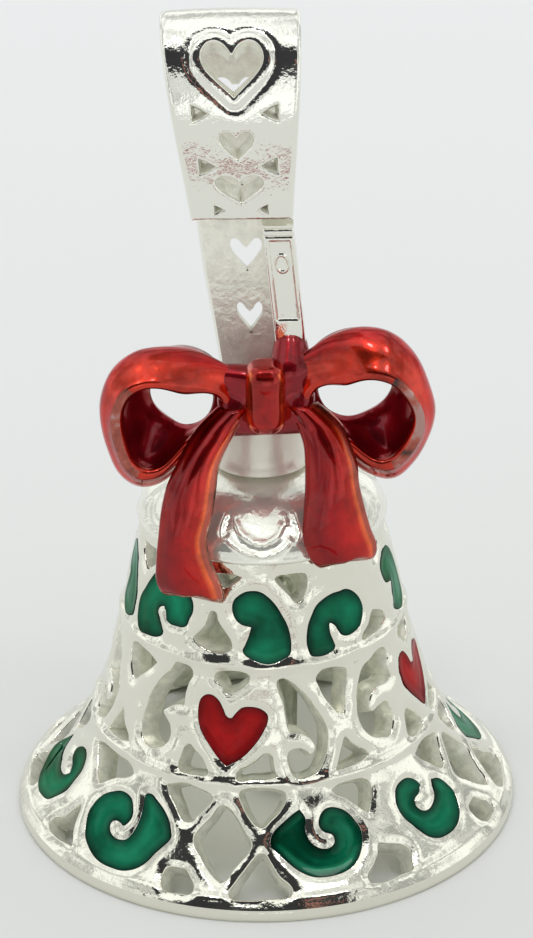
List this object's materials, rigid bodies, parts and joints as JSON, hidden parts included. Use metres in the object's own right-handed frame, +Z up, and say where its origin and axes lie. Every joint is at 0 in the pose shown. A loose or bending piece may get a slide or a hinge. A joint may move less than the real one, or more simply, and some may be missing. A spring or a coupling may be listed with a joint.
{
  "type": "bell ornament",
  "caption": "Small openwork silver bell ornament with enamelled scrolls and hearts, a bow on its neck, a looped strap bail to hang it by and a clapper that swings inside.",
  "frame": {"origin": "centre of the rim's flat foot, at the bottom of the bell", "axes": "+Z up along the bell's axis, -Y towards the front where the bow and the plain tongue face, +X to the right seen from the front"},
  "size_m": [0.0248, 0.0248, 0.0411],
  "materials": {
    "bell_silver": "polished",
    "bail_silver": "polished",
    "clapper_silver": "polished",
    "bow_enamel": "gloss",
    "heart_enamel": "gloss",
    "leaf_enamel": "gloss",
    "scroll_enamel": "gloss"
  },
  "bodies": {
    "bell": {"bell_wall": "bell_silver", "cap": "bell_silver", "neck": "bell_silver", "bail_strap": "bail_silver", "bail_tongue": "bail_silver", "bow_saddle": "bow_enamel", "bow_knot": "bow_enamel", "bow_left_loop": "bow_enamel", "bow_right_loop": "bow_enamel", "bow_left_tail": "bow_enamel", "bow_right_tail": "bow_enamel", "heart_enamel_1": "heart_enamel", "heart_enamel_2": "heart_enamel", "heart_enamel_3": "heart_enamel", "heart_enamel_4": "heart_enamel", "upper_enamel_1": "leaf_enamel", "upper_enamel_2": "leaf_enamel", "upper_enamel_3": "leaf_enamel", "upper_enamel_4": "leaf_enamel", "upper_enamel_5": "leaf_enamel", "upper_enamel_6": "leaf_enamel", "upper_enamel_7": "leaf_enamel", "upper_enamel_8": "leaf_enamel", "skirt_enamel_1": "scroll_enamel", "skirt_enamel_2": "scroll_enamel", "skirt_enamel_3": "scroll_enamel", "skirt_enamel_4": "scroll_enamel", "skirt_enamel_5": "scroll_enamel", "skirt_enamel_6": "scroll_enamel", "skirt_enamel_7": "scroll_enamel", "skirt_enamel_8": "scroll_enamel", "clapper_staple": "clapper_silver"},
    "clapper_link": {"clapper_link": "clapper_silver"},
    "clapper": {"clapper": "clapper_silver"}
  },
  "joints": [
    {"name": "link_swing", "type": "hinge", "parent": "bell", "child": "clapper_link", "pos_m": [0.0004, 0, 0.0151], "axis": [1, 0, 0], "range_deg": [-15, 15]},
    {"name": "clapper_swing", "type": "hinge", "parent": "clapper_link", "child": "clapper", "pos_m": [0.0004, 0, 0.01346], "axis": [0, 1, 0], "range_deg": [-27, 27]}
  ]
}
